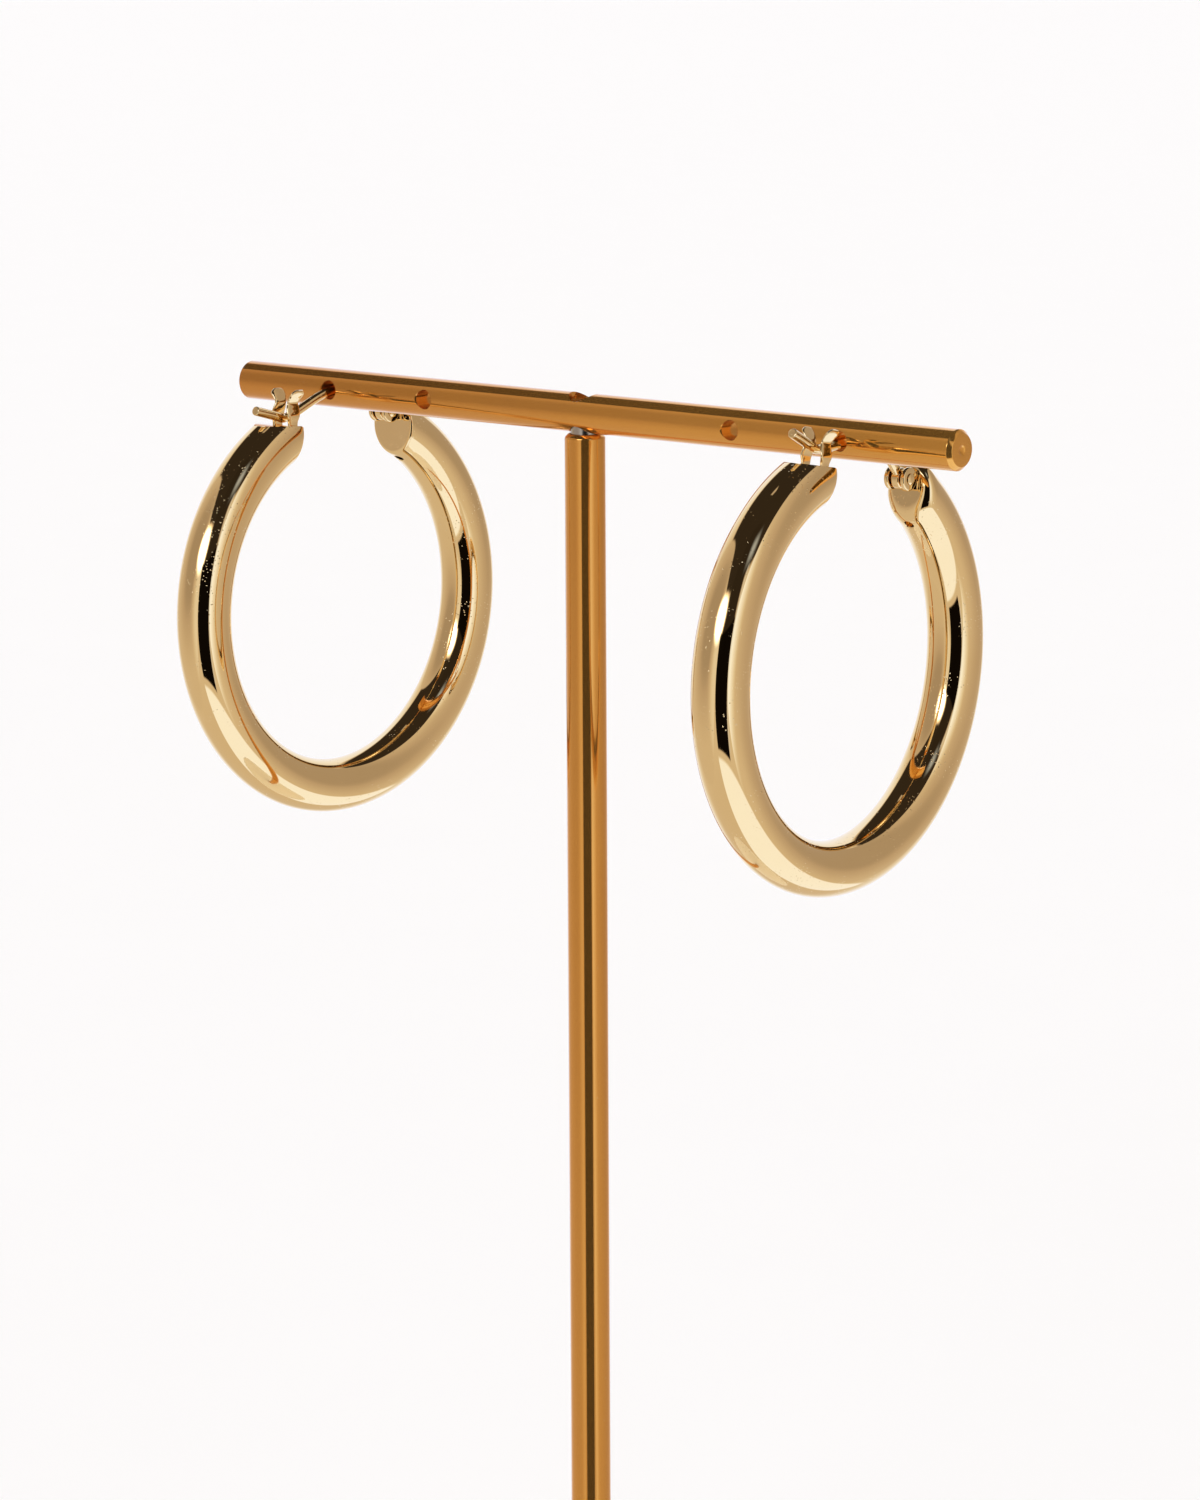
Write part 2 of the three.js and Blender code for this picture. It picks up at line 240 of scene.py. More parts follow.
def polished_gold():
    made, nodes = material("polished gold")
    place = nodes.add("ShaderNodeTexCoord", output="Object")
    smears = nodes.add("ShaderNodeTexNoise", {}, {"Vector": place, "Scale": 260, "Detail": 3})
    hairlines = nodes.add(
        "ShaderNodeTexNoise", {}, {"Vector": place, "Scale": 5200, "Detail": 2, "Distortion": 1.5})
    ripple = nodes.add("ShaderNodeTexNoise", {}, {"Vector": place, "Scale": 420, "Detail": 1})
    pits = nodes.add("ShaderNodeTexVoronoi", {"feature": "F1"}, {"Vector": place, "Scale": 3000})
    pit = nodes.add("ShaderNodeValToRGB", {"stops": [(0, 0.0), (0.2, 1.0)]}, {"Fac": pits})
    cluster = nodes.add("ShaderNodeValToRGB", {"stops": [(0.5, 0.0), (0.6, 1.0)]}, {"Fac": smears})
    tone = nodes.blend(smears, (0.885, 0.645, 0.315, 1), (0.915, 0.675, 0.345, 1))
    bump = nodes.add("ShaderNodeBump", {}, {
        "Strength": 0.8, "Distance": 0.00005, "Height": (1 - pit) * cluster * 0.9 + ripple * 0.08})
    close(nodes, {
        "Base Color": tone, "Metallic": 1.0,
        "Roughness": 0.02 + smears * 0.03 + hairlines * 0.015, "Normal": bump,
    })
    return made


GOLD = polished_gold()
print("gold nodes:", len(GOLD.node_tree.nodes))

# %% [markdown]
# The stand's rods are aluminium with a dyed oxide skin. The skin is clear and glossy over a metal
# that the turning tool left slightly satin, so it shows a sharp reflection and a soft orange glow at
# once. A metal with a little of the dye's own colour mixed in gives the glow, and a thin coat gives
# the sharp part. The dye is cloudy and a little redder towards the left, the turning has left a fine
# grain, and handling a few pale specks.

# %% Anodised aluminium
def anodised_gold():
    made, nodes = material("anodised gold")
    place = nodes.add("ShaderNodeTexCoord", output="Object")
    cloud = nodes.add("ShaderNodeTexNoise", {}, {"Vector": place, "Scale": 90, "Detail": 4})
    grain = nodes.add("ShaderNodeTexNoise", {}, {"Vector": place, "Scale": 2400, "Detail": 3})
    specks = nodes.add("ShaderNodeTexVoronoi", {"feature": "F1"}, {"Vector": place, "Scale": 420})
    speck = nodes.add("ShaderNodeValToRGB", {"stops": [(0, 1.0), (0.05, 0.0)]}, {"Fac": specks})
    along = nodes.add("ShaderNodeSeparateXYZ", {}, {0: place}, output="X")
    dye = nodes.blend(
        0.35 + cloud * 0.3 + along * 8, (0.66, 0.27, 0.05, 1), (0.82, 0.4, 0.075, 1))
    worn = nodes.blend(speck * 0.5, dye, (0.85, 0.62, 0.38, 1))
    bump = nodes.add(
        "ShaderNodeBump", {}, {"Strength": 0.03, "Distance": 0.00002, "Height": grain})
    close(nodes, {
        "Base Color": worn, "Metallic": 0.84, "Roughness": 0.06 + cloud * 0.04 + grain * 0.02,
        "Coat Weight": 0.2, "Coat Roughness": 0.05, "Normal": bump,
    })
    return made


ANODISED = anodised_gold()
print("anodised nodes:", len(ANODISED.node_tree.nodes))

# %% [markdown]
# The screw that joins bar and post is plain steel, cut off flush and not quite polished. Its
# colour is darker and warmer than bare steel: that is painted reflection of the orange bar and
# post around it, and painted shade in the gap where it shows. Its end has rings left by the tool,
# which a wave pattern about the post gives as bump and roughness.

# %% Steel with a painted warm reflection
def steel_with_painted_reflection():
    made, nodes = material("bright steel")
    place = nodes.add("ShaderNodeTexCoord", output="Object")
    rings = nodes.add(
        "ShaderNodeTexWave", {"wave_type": "RINGS", "rings_direction": "Z"},
        {"Vector": place, "Scale": 900, "Distortion": 0.6, "Detail": 2})
    bump = nodes.add("ShaderNodeBump", {}, {"Strength": 0.1, "Distance": 0.00003, "Height": rings})
    close(nodes, {
        # darker and warmer than steel: painted reflection of the orange bar and post, and painted
        # shade
        "Base Color": (0.47, 0.42, 0.36, 1), "Metallic": 1.0, "Roughness": 0.22 + rings * 0.15,
        "Normal": bump,
    })
    return made


STEEL = steel_with_painted_reflection()
print("steel nodes:", len(STEEL.node_tree.nodes))

# %% [markdown]
# The base is lacquered off-white, as the hoops mirror nothing dark or orange below them. Sprayed
# lacquer is never quite flat: a slow ripple like orange peel breaks its highlights.

# %% White lacquer
def white_lacquer():
    made, nodes = material("white lacquer")
    place = nodes.add("ShaderNodeTexCoord", output="Object")
    peel = nodes.add("ShaderNodeTexNoise", {}, {"Vector": place, "Scale": 900, "Detail": 1})
    dust = nodes.add("ShaderNodeTexNoise", {}, {"Vector": place, "Scale": 120, "Detail": 4})
    tone = nodes.blend(dust, (0.83, 0.815, 0.775, 1), (0.88, 0.87, 0.84, 1))
    bump = nodes.add("ShaderNodeBump", {}, {"Strength": 0.25, "Distance": 0.00003, "Height": peel})
    close(nodes, {"Base Color": tone, "Roughness": 0.28 + dust * 0.14, "Normal": bump})
    return made


LACQUER = white_lacquer()
print("lacquer nodes:", len(LACQUER.node_tree.nodes))

# %% [markdown]
# Rods, discs, rivets and eyes are all turned on a lathe, so one function turns a profile of radius
# and height pairs about an axis. Another first rounds the profile's corners, because no turned edge
# is truly sharp and the rounding is what catches the light.

# %% Turning
ON_AXIS, SAME_PLACE = 1e-9, 1e-8
LONGEST_CUT = 0.45  # the share of a profile's line that one rounding may take


def rounded(profile, size, steps=4):
    """The profile with each inner corner replaced by a short curve."""
    made = [profile[0]]
    for before, corner, after in zip(profile, profile[1:], profile[2:]):
        here = Vector(corner)
        back, on = Vector(before) - here, Vector(after) - here
        cut = min(size, back.length * LONGEST_CUT, on.length * LONGEST_CUT)
        start, end = here + back.normalized() * cut, here + on.normalized() * cut
        for step in range(steps + 1):
            t = step / steps
            made.append(tuple(start * (1 - t) ** 2 + here * 2 * t * (1 - t) + end * t**2))
    made.append(profile[-1])
    return made


def turned(profile, sides):
    """A solid of revolution about +Z. A ring's profile ends where it starts."""
    made = bmesh.new()
    loops = []
    for radius, height in profile:
        if radius < ON_AXIS:
            loops.append([made.verts.new((0, 0, height))])
            continue
        angles = (2 * math.pi * k / sides for k in range(sides))
        loops.append([
            made.verts.new((radius * math.cos(a), radius * math.sin(a), height)) for a in angles])
    for low, high in zip(loops, loops[1:]):
        join_loops(made, low, high)
    bmesh.ops.remove_doubles(made, verts=made.verts, dist=SAME_PLACE)
    return made


def join_loops(made, low, high):
    """Faces between two loops, of which one may be a single point."""
    count = max(len(low), len(high))
    for k in range(count):
        corners = [low[k % len(low)], low[(k + 1) % len(low)],
                   high[(k + 1) % len(high)], high[k % len(high)]]
        unique = list(dict.fromkeys(corners))
        if len(unique) > 2:
            made.faces.new(unique)


print("a square profile rounds to", len(rounded([(0, 0), (1, 0), (1, 1), (0, 1)], 0.1)), "points")

# %% [markdown]
# Every piece ends the same way: its mesh is carried to its place, its faces are turned outwards, its
# shading is smooth except over edges sharper than an angle in degrees, and its object stays at the
# origin. A last step weights the shading by face area, so that a flat stays flat next to its rounded
# edge.

# %% Finishing a piece
AREA_WEIGHT = 80


def linked(name, data):
    """A new object in the scene."""
    made = bpy.data.objects.new(name, data)
    bpy.context.collection.objects.link(made)
    return made


def outward(made):
    """Turns a closed shape's faces outwards."""
    bmesh.ops.recalc_face_normals(made, faces=made.faces)
    return made


def finished(name, made, look, matrix=None, sharp=35):
    """Turns a mesh in construction, or a mesh, into a placed and smoothly shaded object."""
    if isinstance(made, bpy.types.Mesh):
        loose = made
        made = bmesh.new()
        made.from_mesh(loose)
        bpy.data.meshes.remove(loose)
    mesh = bpy.data.meshes.new(name)
    outward(made).to_mesh(mesh)
    made.free()
    mesh.transform(matrix or Matrix())
    mesh.materials.clear()
    mesh.materials.append(look)
    mesh.polygons.foreach_set("use_smooth", [True] * len(mesh.polygons))
    mesh.set_sharp_from_angle(angle=math.radians(sharp))
    piece = linked(name, mesh)
    weighted = piece.modifiers.new("area shading", "WEIGHTED_NORMAL")
    weighted.keep_sharp = True
    weighted.weight = AREA_WEIGHT
    piece.data = settled(piece)
    piece.modifiers.clear()
    bpy.data.meshes.remove(mesh)
    piece.data.name = name
    lengths = [f"{size / MM:.1f}" for size in piece.dimensions]
    print(f"{name}: {len(piece.data.polygons)} faces, {' x '.join(lengths)} mm")
    return piece


def settled(piece):
    """The piece's mesh with its modifiers worked in."""
    graph = bpy.context.evaluated_depsgraph_get()
    graph.update()
    return bpy.data.meshes.new_from_object(piece.evaluated_get(graph), depsgraph=graph)


def belongs(piece, body, slot, *nodes):
    """Says which body a piece moves with and hides the nodes it stands for. The slot is not used."""
    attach(piece, body)
    if nodes:
        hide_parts(*nodes)


print("pieces are finished by one function")

# %% [markdown]
# The base is a plain turned disc with a blind socket, and the post is a rod from that socket to the
# underside of the bar. Both are profiles that start and end on the axis.

# %% Base, post and screw
BAR_RADIUS = BAR_DIAMETER / 2
SCREW_HOLE = SCREW_DIAMETER / 2 + SCREW_CLEARANCE


def base():
    outer, socket = BASE_DIAMETER / 2, POST_DIAMETER / 2 + SOCKET_CLEARANCE
    bottom = BASE_THICKNESS - SOCKET_DEPTH
    profile = [
        (0, 0), (outer - BASE_CHAMFER, 0), (outer, BASE_CHAMFER),
        (outer, BASE_THICKNESS - BASE_CHAMFER), (outer - BASE_CHAMFER, BASE_THICKNESS),
        (socket, BASE_THICKNESS), (socket, bottom), (0, bottom),
    ]
    return turned(rounded(profile, BASE_EDGE), sides=160)


def post():
    bottom = BASE_THICKNESS - SOCKET_DEPTH + SEAT_GAP
    top = BAR_HEIGHT - BAR_RADIUS - SEAT_GAP
    outer = POST_DIAMETER / 2
    profile = [
        (0, bottom), (outer - POST_CHAMFER, bottom), (outer, bottom + POST_CHAMFER),
        (outer, top - POST_CHAMFER), (outer - POST_CHAMFER, top), (SCREW_HOLE, top),
        (SCREW_HOLE, top - SCREW_DEPTH), (0, top - SCREW_DEPTH),
    ]
    return turned(rounded(profile, ROD_EDGE), sides=96)


def screw():
    bottom = BAR_HEIGHT - BAR_RADIUS - SCREW_DEPTH + 2 * SEAT_GAP
    top = BAR_HEIGHT + math.sqrt(BAR_RADIUS**2 - SCREW_HOLE**2) - SCREW_RECESS
    radius = SCREW_DIAMETER / 2
    profile = [(0, bottom), (radius, bottom), (radius, top), (0, top)]
    return turned(rounded(profile, ROD_EDGE), sides=64)


belongs(finished("stand_base", base(), LACQUER), "stand", "white_lacquer", "base_plate")
belongs(finished("stand_post", post(), ANODISED), "stand", "anodised_gold", "post")
belongs(finished("stand_screw", screw(), STEEL), "stand", "screw_steel", "bar_screw")

# %% [markdown]
# The crossbar is a rod with the same hole drilled four times, chamfered at both mouths. Repeated
# holes suit Geometry Nodes: a turned cutter is set on the four points of two lines and taken away
# from the rod in one Boolean, so a change of spacing or diameter is one number. The screw's single
# hole is cut from above by a Boolean modifier. All three trees of this script start with named inputs
# and end with real geometry in one finish, so two functions do that.

# %% Drilling the crossbar
def started(name, sockets, gives):
    """A new tree with its nodes and its named inputs."""
    tree = bpy.data.node_groups.new(name, "GeometryNodeTree")
    nodes = Nodes(tree)
    for label, kind in sockets.items():
        tree.interface.new_socket(name=label, in_out="INPUT", socket_type="NodeSocket" + kind)
    tree.interface.new_socket(name=gives, in_out="OUTPUT", socket_type="NodeSocketGeometry")
    given = {label: nodes.add("NodeGroupInput", output=label) for label in sockets}
    return tree, nodes, given


def ended(nodes, shape, finish):
    """Ends a tree with real geometry in one finish."""
    whole = nodes.add("GeometryNodeRealizeInstances", {}, {0: shape})
    named = nodes.add("GeometryNodeSetMaterial", {}, {"Geometry": whole, "Material": finish})
    nodes.add("NodeGroupOutput", {}, {0: named})


def drilling_tree():
    tree, nodes, given = started("drilled bar", {
        "Bar": "Geometry", "Cutter": "Object", "Inner hole": "Float", "Outer hole": "Float",
        "Finish": "Material"}, "Drilled")
    rows = []
    for name in ("Inner hole", "Outer hole"):
        start = nodes.add("ShaderNodeCombineXYZ", {}, {"X": 0 - given[name]})
        end = nodes.add("ShaderNodeCombineXYZ", {}, {"X": given[name]})
        rows.append(nodes.add(
            "GeometryNodeMeshLine", {"mode": "END_POINTS"},
            {"Count": 2, "Start Location": start, "Offset": end}))
    both = nodes.add("GeometryNodeJoinGeometry", {}, {0: rows[0]})
    tree.links.new(rows[1].socket, both.socket.node.inputs[0])
    cutter = nodes.add("GeometryNodeObjectInfo", {}, {"Object": given["Cutter"]}, output="Geometry")
    drills = nodes.add("GeometryNodeInstanceOnPoints", {}, {"Points": both, "Instance": cutter})
    solid = nodes.add("GeometryNodeRealizeInstances", {}, {0: drills})
    cut = nodes.add(
        "GeometryNodeMeshBoolean", {"operation": "DIFFERENCE", "solver": "EXACT"},
        {"Mesh 1": given["Bar"], "Mesh 2": solid}, output="Mesh")
    ended(nodes, cut, given["Finish"])
    return tree


def grown(name, mesh, tree, inputs):
    """The mesh that a Geometry Nodes tree makes of a start mesh or curve and named inputs."""
    source = linked(name, mesh)
    modifier = source.modifiers.new(tree.name, "NODES")
    modifier.node_group = tree
    for item in tree.interface.items_tree:
        if item.item_type == "SOCKET" and item.name in inputs:
            modifier[item.identifier] = inputs[item.name]
    made = settled(source)
    bpy.data.objects.remove(source)
    return made


def as_object(name, made):
    mesh = bpy.data.meshes.new(name)
    made.to_mesh(mesh)
    made.free()
    return linked(name, mesh)


def cut_away(made, *tools):
    """The solid with each tool's shape taken away."""
    solid = as_object("solid", made)
    for tool in tools:
        cutter = as_object("tool", tool)
        cut = solid.modifiers.new("cut", "BOOLEAN")
        cut.operation, cut.solver, cut.object = "DIFFERENCE", "EXACT", cutter
    mesh = settled(solid)
    for cut in solid.modifiers:
        bpy.data.objects.remove(cut.object)
    bpy.data.objects.remove(solid)
    return mesh


def bar_rod():
    half, end = BAR_LENGTH / 2, BAR_RADIUS - BAR_CHAMFER
    profile = [
        (0, DIMPLE_DEPTH - half), (DIMPLE_DIAMETER / 2, -half), (end, -half),
        (BAR_RADIUS, BAR_CHAMFER - half), (BAR_RADIUS, half - BAR_CHAMFER), (end, half),
        (DIMPLE_DIAMETER / 2, half), (0, half - DIMPLE_DEPTH),
    ]
    made = outward(turned(rounded(profile, BAR_EDGE), sides=192))
    made.transform(Matrix.Rotation(math.pi / 2, 4, "Y"))
    return made


def drill(radius, chamfer):
    """A cutter along Y that opens out where it leaves the bar."""
    past = BAR_RADIUS + PAST
    wide = radius + chamfer + PAST
    made = outward(turned([
        (0, -past), (wide, -past), (radius, chamfer - BAR_RADIUS), (radius, BAR_RADIUS - chamfer),
        (wide, past), (0, past)], sides=64))
    made.transform(Matrix.Rotation(math.pi / 2, 4, "X"))
    return made


def crossbar():
    rod = as_object("rod", bar_rod())
    cutter = as_object("drill", drill(HOLE_DIAMETER / 2, HOLE_CHAMFER))
    made = grown("drilled", rod.data, drilling_tree(), {
        "Cutter": cutter, "Inner hole": INNER_HOLE, "Outer hole": OUTER_HOLE, "Finish": ANODISED})
    bpy.data.objects.remove(rod)
    bpy.data.objects.remove(cutter)
    return made


def drilled_from_above(mesh):
    """The bar with the screw's hole through its middle."""
    bar = bmesh.new()
    bar.from_mesh(mesh)
    past = 2 * BAR_RADIUS
    hole = turned([(0, -past), (SCREW_HOLE, -past), (SCREW_HOLE, past), (0, past)], sides=96)
    return cut_away(bar, outward(hole))


bar_mesh = drilled_from_above(crossbar())
bar_piece = finished(
    "stand_crossbar", bar_mesh, ANODISED, Matrix.Translation((0, 0, BAR_HEIGHT)), sharp=25)
belongs(bar_piece, "stand", "anodised_gold", "crossbar")

# %% [markdown]
# The tube follows a rule, so Geometry Nodes bends a flat grid into it. One side of the grid runs
# round the ring and the other round the tube. The sawn ends come from the rule too: each line along
# the tube runs from the gap's rear plane to its front plane. The first and last rows are longer, to
# leave room for a well rounded end.

# %% The bent tube
def tube_tree():
    tree, nodes, given = started("bent tube", {
        "Geometry": "Geometry", "Rows": "Int", "Sides": "Int", "Ring radius": "Float",
        "Tube radius": "Float", "End plane": "Float", "Nose share": "Float",
        "Finish": "Material"}, "Tube")
    grid = nodes.add("GeometryNodeMeshGrid", {}, {
        "Size X": 1.0, "Size Y": 1.0,
        "Vertices X": given["Rows"] + 1, "Vertices Y": given["Sides"] + 1})
    place = nodes.add("GeometryNodeInputPosition")
    even = nodes.add("ShaderNodeSeparateXYZ", {}, {0: place}, output="X") + 0.5
    ends = even.math("GREATER_THAN", 0.999) - even.math("LESS_THAN", 0.001)
    share = even * (1 - 2 * given["Nose share"]) + given["Nose share"] * (1 + ends)
    turn = (nodes.add("ShaderNodeSeparateXYZ", {}, {0: place}, output="Y") + 0.5) * (2 * math.pi)
    reach = given["Ring radius"] + given["Tube radius"] * turn.math("COSINE")
    end = (given["End plane"] / reach).math("ARCSINE")
    angle = end + share * (2 * math.pi - 2 * end)
    bent = nodes.add("ShaderNodeCombineXYZ", {}, {
        "X": given["Tube radius"] * turn.math("SINE"), "Y": reach * angle.math("SINE"),
        "Z": reach * angle.math("COSINE")})
    moved = nodes.add("GeometryNodeSetPosition", {}, {"Geometry": grid, "Position": bent})
    closed = nodes.add("GeometryNodeMergeByDistance", {}, {"Geometry": moved, "Distance": 1e-6})
    ended(nodes, closed, given["Finish"])
    return tree


tube_mesh = grown("bent", bpy.data.meshes.new("start"), tube_tree(), {
    "Rows": 200, "Sides": 108, "Ring radius": RING_RADIUS, "Tube radius": TUBE_RADIUS,
    "End plane": END_Y, "Nose share": 0.01, "Finish": GOLD})
print("open tube:", len(tube_mesh.vertices), "vertices")

# %% [markdown]
# The sawn ends are closed by flat faces and their rims are rounded, as polishing does, more on the
# worn hoop. The flat under the catch is then filed off: the file is a bar whose underside is level
# and curves down at the end, so that the front end comes out round here too. The same Boolean drills
# the vent on the inside of the ring.

# %% Closing, rounding and filing the ends
def around_tube(vert):
    """The angle of a point round the tube, 0 on the outside of the ring."""
    return math.atan2(vert.co.x, math.hypot(vert.co.y, vert.co.z) - RING_RADIUS)


def closed_tube(mesh, rear_rounding):
    made = bmesh.new()
    made.from_mesh(mesh)
    open_verts = {vert for edge in made.edges if edge.is_boundary for vert in edge.verts}
    ends = [made.faces.new(sorted((v for v in open_verts if v.co.y * turn > 0), key=around_tube))
            for turn in (1, -1)]
    outward(made)
    rims = [list(end.edges) for end in ends]
    for rim, size in zip(rims, (rear_rounding, NOSE_ROUNDING)):
        bmesh.ops.bevel(made, geom=rim, offset=size, segments=8, profile=0.5,
                        affect="EDGES", clamp_overlap=True)
    return made


def stacked(sections):
    """A closed body through a row of sections."""
    made = bmesh.new()
    loops = [[made.verts.new(point) for point in section] for section in sections]
    for low, high in zip(loops, loops[1:]):
        join_loops(made, low, high)
    made.faces.new(loops[0])
    made.faces.new(loops[-1])
    return made


def file_bar(steps=12):
    """The file: a long bar across the tube whose underside curves down at the tube's end."""
    past = 2 * TUBE_RADIUS
    under = [(-END_Y - 2 * past, FLAT_Z)]
    for step in range(steps + 1):
        turn = math.pi / 2 * step / steps
        under.append((-END_Y - NOSE_ROUNDING + NOSE_ROUNDING * math.sin(turn),
                      FLAT_Z - NOSE_ROUNDING + NOSE_ROUNDING * math.cos(turn)))
    outline = under + [(-END_Y + past, FLAT_Z - NOSE_ROUNDING), (-END_Y + past, FLAT_Z + past),
                       (-END_Y - 2 * past, FLAT_Z + past)]
    return outward(stacked([[Vector((x, y, z)) for y, z in outline] for x in (-past, past)]))


def vent_drill():
    """The small drill for the hole that lets the plating bath run out."""
    radius = VENT_DIAMETER / 2
    inner = RING_RADIUS - TUBE_RADIUS
    made = outward(turned([
        (0, inner - PAST), (radius + PAST, inner - PAST), (radius, inner + VENT_MOUTH),
        (radius, inner + VENT_DEPTH), (0, inner + VENT_DEPTH)], sides=48))
    made.transform(Matrix.Rotation(-VENT_ANGLE, 4, "X"))
    return made


for side, hang in HANGS.items():
    hoop_mesh = cut_away(closed_tube(tube_mesh, hang["worn"] * MM), file_bar(), vent_drill())
    piece = finished(f"hoop_tube_{side}", hoop_mesh, GOLD, hanging(hang))
    belongs(piece, f"hoop_{side}", "polished_gold", f"hoop_{side}")

# %% [markdown]
# The catch is two legs cut from thin strip and bent like a lyre. The wire slips between their narrow
# necks and snaps in below. Each leg is a stack of rounded sections along its bend: the table gives
# the bend, the width and how far the leg leans back at named heights, and a smooth curve fills in
# between. Widths and leans are shares of the strip's full width.

# %% The catch
NECK = WIRE_RADIUS + CATCH_CLEARANCE + CATCH_STRIP / 2
CATCH_ROWS = [
    {"height": -SOLDER_DEPTH / CATCH_HEIGHT, "spread": CATCH_BASE, "width": 0.7, "back": 0.08},
    {"height": 0.08, "spread": CATCH_BASE, "width": 0.74, "back": 0.08},
    {"height": 0.26, "spread": 1.25 * CATCH_BASE - 0.25 * NECK, "width": 0.95, "back": 0.1},
    {"height": 0.45, "spread": (CATCH_BASE + NECK) / 2, "width": 0.95, "back": 0.13},
    {"height": 0.62, "spread": NECK, "width": 0.82, "back": 0.17},
    {"height": 0.76, "spread": NECK + 0.3 * (CATCH_TIP - NECK), "width": 0.93, "back": 0.21},
    {"height": 0.9, "spread": NECK + 0.8 * (CATCH_TIP - NECK), "width": 0.98, "back": 0.25},
    {"height": 1, "spread": CATCH_TIP, "width": 0.5, "back": 0.28},
]


def between(rows, share, key):
    """A smooth curve through a column of a table, read at a share of its length."""
    at = min(share, 0.9999) * (len(rows) - 1)
    k, t = int(at), at % 1
    a, b, c, d = (rows[min(max(k + step, 0), len(rows) - 1)][key] for step in (-1, 0, 1, 2))
    return b + 0.5 * t * (c - a + t * (2 * a - 5 * b + 4 * c - d + t * (3 * (b - c) + d - a)))


FACE_POWER, EDGE_POWER, SOLDER_POWER = 0.7, 0.8, 0.6
TIP_THINNING = {0: 0.45, 1: 0.85}  # the last two sections, as shares of the strip's thickness


def swelled(value, power):
    """A sine or cosine pushed outwards, which makes an oval squarer."""
    return math.copysign(abs(value) ** power, value)


def strip_section(centre, across, width, thickness, count=28):
    """A flat section with rounded edges; across is the direction of its thickness."""
    points = []
    for k in range(count):
        angle = 2 * math.pi * k / count
        c, s = math.cos(angle), math.sin(angle)
        points.append(centre + Vector((0, 1, 0)) * (width / 2 * swelled(c, EDGE_POWER))
                      + across * (thickness / 2 * swelled(s, FACE_POWER)))
    return points


def catch_leg(turn, steps=48):
    places = []
    for k in range(steps + 1):
        share = k / steps
        spread, height, width, back = (
            between(CATCH_ROWS, share, key) for key in ("spread", "height", "width", "back"))
        places.append((
            Vector((turn * spread, CATCH_Y + CATCH_WIDTH * back, FLAT_Z + CATCH_HEIGHT * height)),
            CATCH_WIDTH * width))
    sections = []
    for k, (centre, width) in enumerate(places):
        run = places[min(k + 1, steps)][0] - places[max(k - 1, 0)][0]
        across = Vector((run.z, 0, -run.x)).normalized()
        thin = CATCH_STRIP * TIP_THINNING.get(steps - k, 1)
        sections.append(strip_section(centre, across, width, thin))
    return stacked(sections)


for side, hang in HANGS.items():
    for name, turn in (("near", 1), ("far", -1)):
        piece = finished(f"catch_leg_{name}_{side}", catch_leg(turn), GOLD, hanging(hang), sharp=50)
        belongs(piece, f"hoop_{side}", "polished_gold")

# %% [markdown]
# Two round lugs stand on the rear end with a short foot of solder, the wire's eye sits between them,
# and a rivet with domed heads goes through all three. The lugs and the eye are discs about the
# rivet's own axis, so they are turned and then laid on their side.

# %% The hinge
LAID = Matrix.Rotation(math.pi / 2, 4, "Y")
FOOT_START, FOOT_NECK, FOOT_WAIST = 0.62, 0.86, 0.84  # shares of the lug's radius, foot and width
FOOT_SPREAD = 0.5
RIVET_CROWN, RIVET_RIM = 0.55, 0.06 * MM


def ring_profile(bore, radius, low, high, edge):
    """The closed profile of a flat ring with rounded outer edges."""
    flat = [(bore, low), (radius, low), (radius, high), (bore, high)]
    return [flat[0], *rounded(flat, edge, 5)[1:-1], flat[-1], flat[0]]


def lug(turn, hang):
    bore = RIVET_DIAMETER / 2 + RIVET_CLEARANCE
    low, high = sorted((turn * LUG_INNER, turn * LUG_OUTER))
    made = turned(ring_profile(bore, LUG_RADIUS, low, high, LUG_EDGE), sides=64)
    made.transform(Matrix.Translation((0, RIVET_Y, rivet_height(hang))) @ LAID)
    return made


def lug_foot(turn, hang, steps=8, count=24):
    """The solder that ties a lug to the tube's end and spreads out there."""
    low = rivet_height(hang) - LUG_RADIUS + LUG_THICKNESS / 4
    middle = turn * (LUG_INNER + LUG_OUTER) / 2
    start, end = RIVET_Y + FOOT_START * LUG_RADIUS, END_Y + FOOT_SINK
    angles = [2 * math.pi * k / count for k in range(count)]
    sections = []
    for step in range(steps + 1):
        t = step / steps
        height = LUG_FOOT * (FOOT_NECK + (1 - FOOT_NECK) * t * t)
        width = LUG_THICKNESS * (FOOT_WAIST + FOOT_SPREAD * t**3)
        sections.append([
            Vector((middle + width / 2 * swelled(math.cos(angle), SOLDER_POWER),
                    start + t * (end - start),
                    low + LUG_FOOT / 2 + height / 2 * swelled(math.sin(angle), SOLDER_POWER)))
            for angle in angles])
    return stacked(sections)


def rivet(hang):
    head, shank = LUG_OUTER + SEAT_GAP, RIVET_DIAMETER / 2
    top = head + RIVET_HEAD_HEIGHT
    wide = RIVET_HEAD_DIAMETER / 2
    half = [(0, -top), (RIVET_CROWN * wide, -top), (wide, -head - RIVET_RIM), (wide, -head),
            (shank, -head)]
    profile = half + [(radius, -height) for radius, height in reversed(half)]
    made = turned(rounded(profile, RIVET_EDGE), sides=48)
    made.transform(Matrix.Translation((0, RIVET_Y, rivet_height(hang))) @ LAID)
    return made


for side, hang in HANGS.items():
    for name, turn in (("near", 1), ("far", -1)):
        for part, make in (("lug", lug), ("lug_foot", lug_foot)):
            piece = finished(f"{part}_{name}_{side}", make(turn, hang), GOLD, hanging(hang), sharp=40)
            belongs(piece, f"hoop_{side}", "polished_gold")
    piece = finished(f"hinge_pin_{side}", rivet(hang), GOLD, hanging(hang), sharp=40)
    belongs(piece, f"hoop_{side}", "polished_gold", f"hinge_rivet_{side}")

